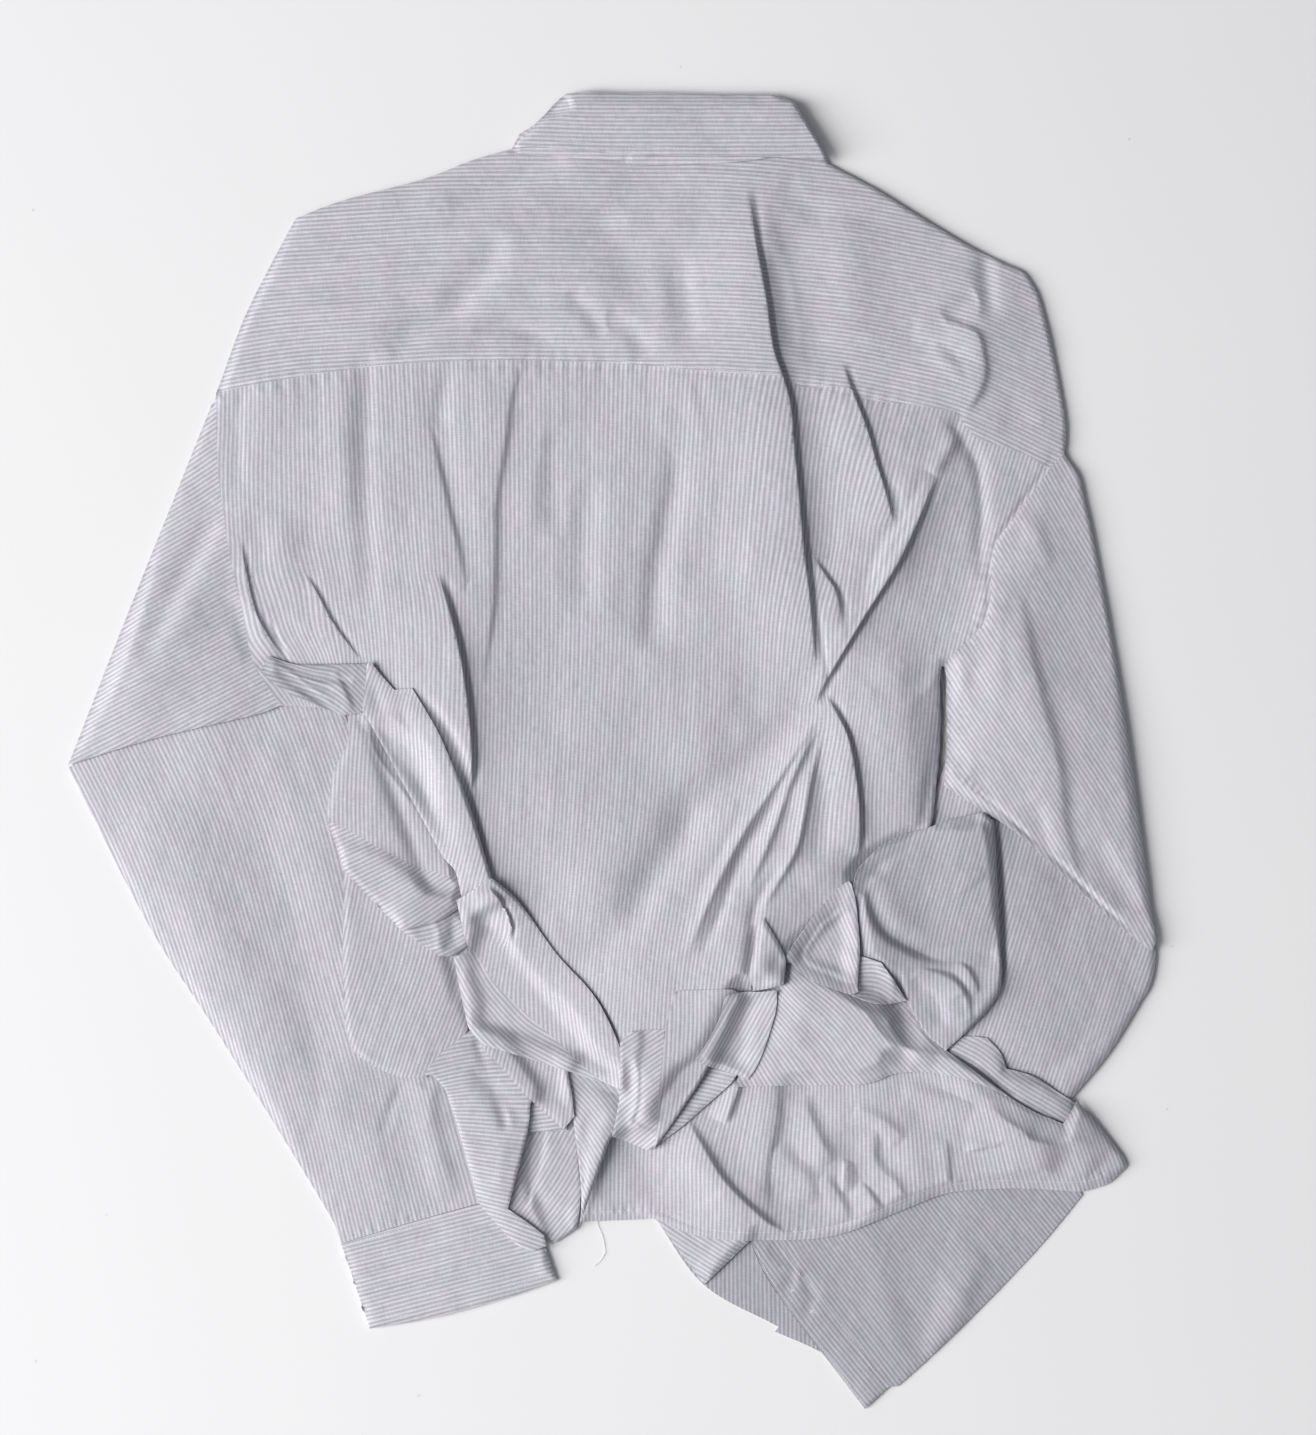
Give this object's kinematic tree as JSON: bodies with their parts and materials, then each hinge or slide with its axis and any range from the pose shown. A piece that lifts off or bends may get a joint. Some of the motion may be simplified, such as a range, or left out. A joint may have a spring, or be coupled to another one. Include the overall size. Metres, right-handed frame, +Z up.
{
  "type": "crumpled shirt",
  "caption": "Long-sleeved striped shirt laid face down and crumpled, its tails twisted and tied in a knot over the lower back.",
  "frame": {"origin": "middle of the shirt's box, on the surface that it lies on", "axes": "+Z up, out of the back of the shirt; +Y towards the collar; +X towards the wearer's right"},
  "size_m": [0.6736, 0.8156, 0.0274],
  "materials": {
    "shirting": "fine grey and white striped cotton poplin, matt",
    "shirting_fused": "the same striped cotton, stiffened by an interlining",
    "shirting_inside": "inside face of the striped cotton, a little duller",
    "bunched_layers": "hidden layers of the same cotton"
  },
  "bodies": {
    "root": {"back": "shirting", "yoke": "shirting", "collar_stand": "shirting_fused", "collar_fall": "shirting_fused", "sleeve_left_upper": "shirting", "sleeve_left_forearm": "shirting", "sleeve_left_under": "shirting_inside", "cuff_left": "shirting_fused", "sleeve_right_upper": "shirting", "sleeve_right_forearm": "shirting", "sleeve_right_under": "shirting_inside", "cuff_right": "shirting_inside", "front_left": "shirting_inside", "front_left_fold": "shirting", "front_right": "shirting_inside", "placket_right": "shirting_inside", "inner_layers": "bunched_layers", "skirt_lower": "shirting", "skirt_upper": "shirting", "skirt_roll": "shirting", "flap_right": "shirting", "tuck_right": "shirting", "tuck_small": "shirting", "gather_tuck": "shirting", "knot_left": "shirting", "knot_right": "shirting", "tie_right": "shirting", "tie_end": "shirting", "flank_upper": "shirting", "flank_lower": "shirting", "flank_fold": "shirting", "flank_tuck": "shirting", "underarm_left": "shirting", "band_upper": "shirting", "band_lower": "shirting", "band_fold": "shirting", "band_turn": "shirting", "tail_left": "shirting", "tail_hem": "shirting", "tail_centre_left": "shirting", "tail_centre_right": "shirting"}
  },
  "joints": []
}
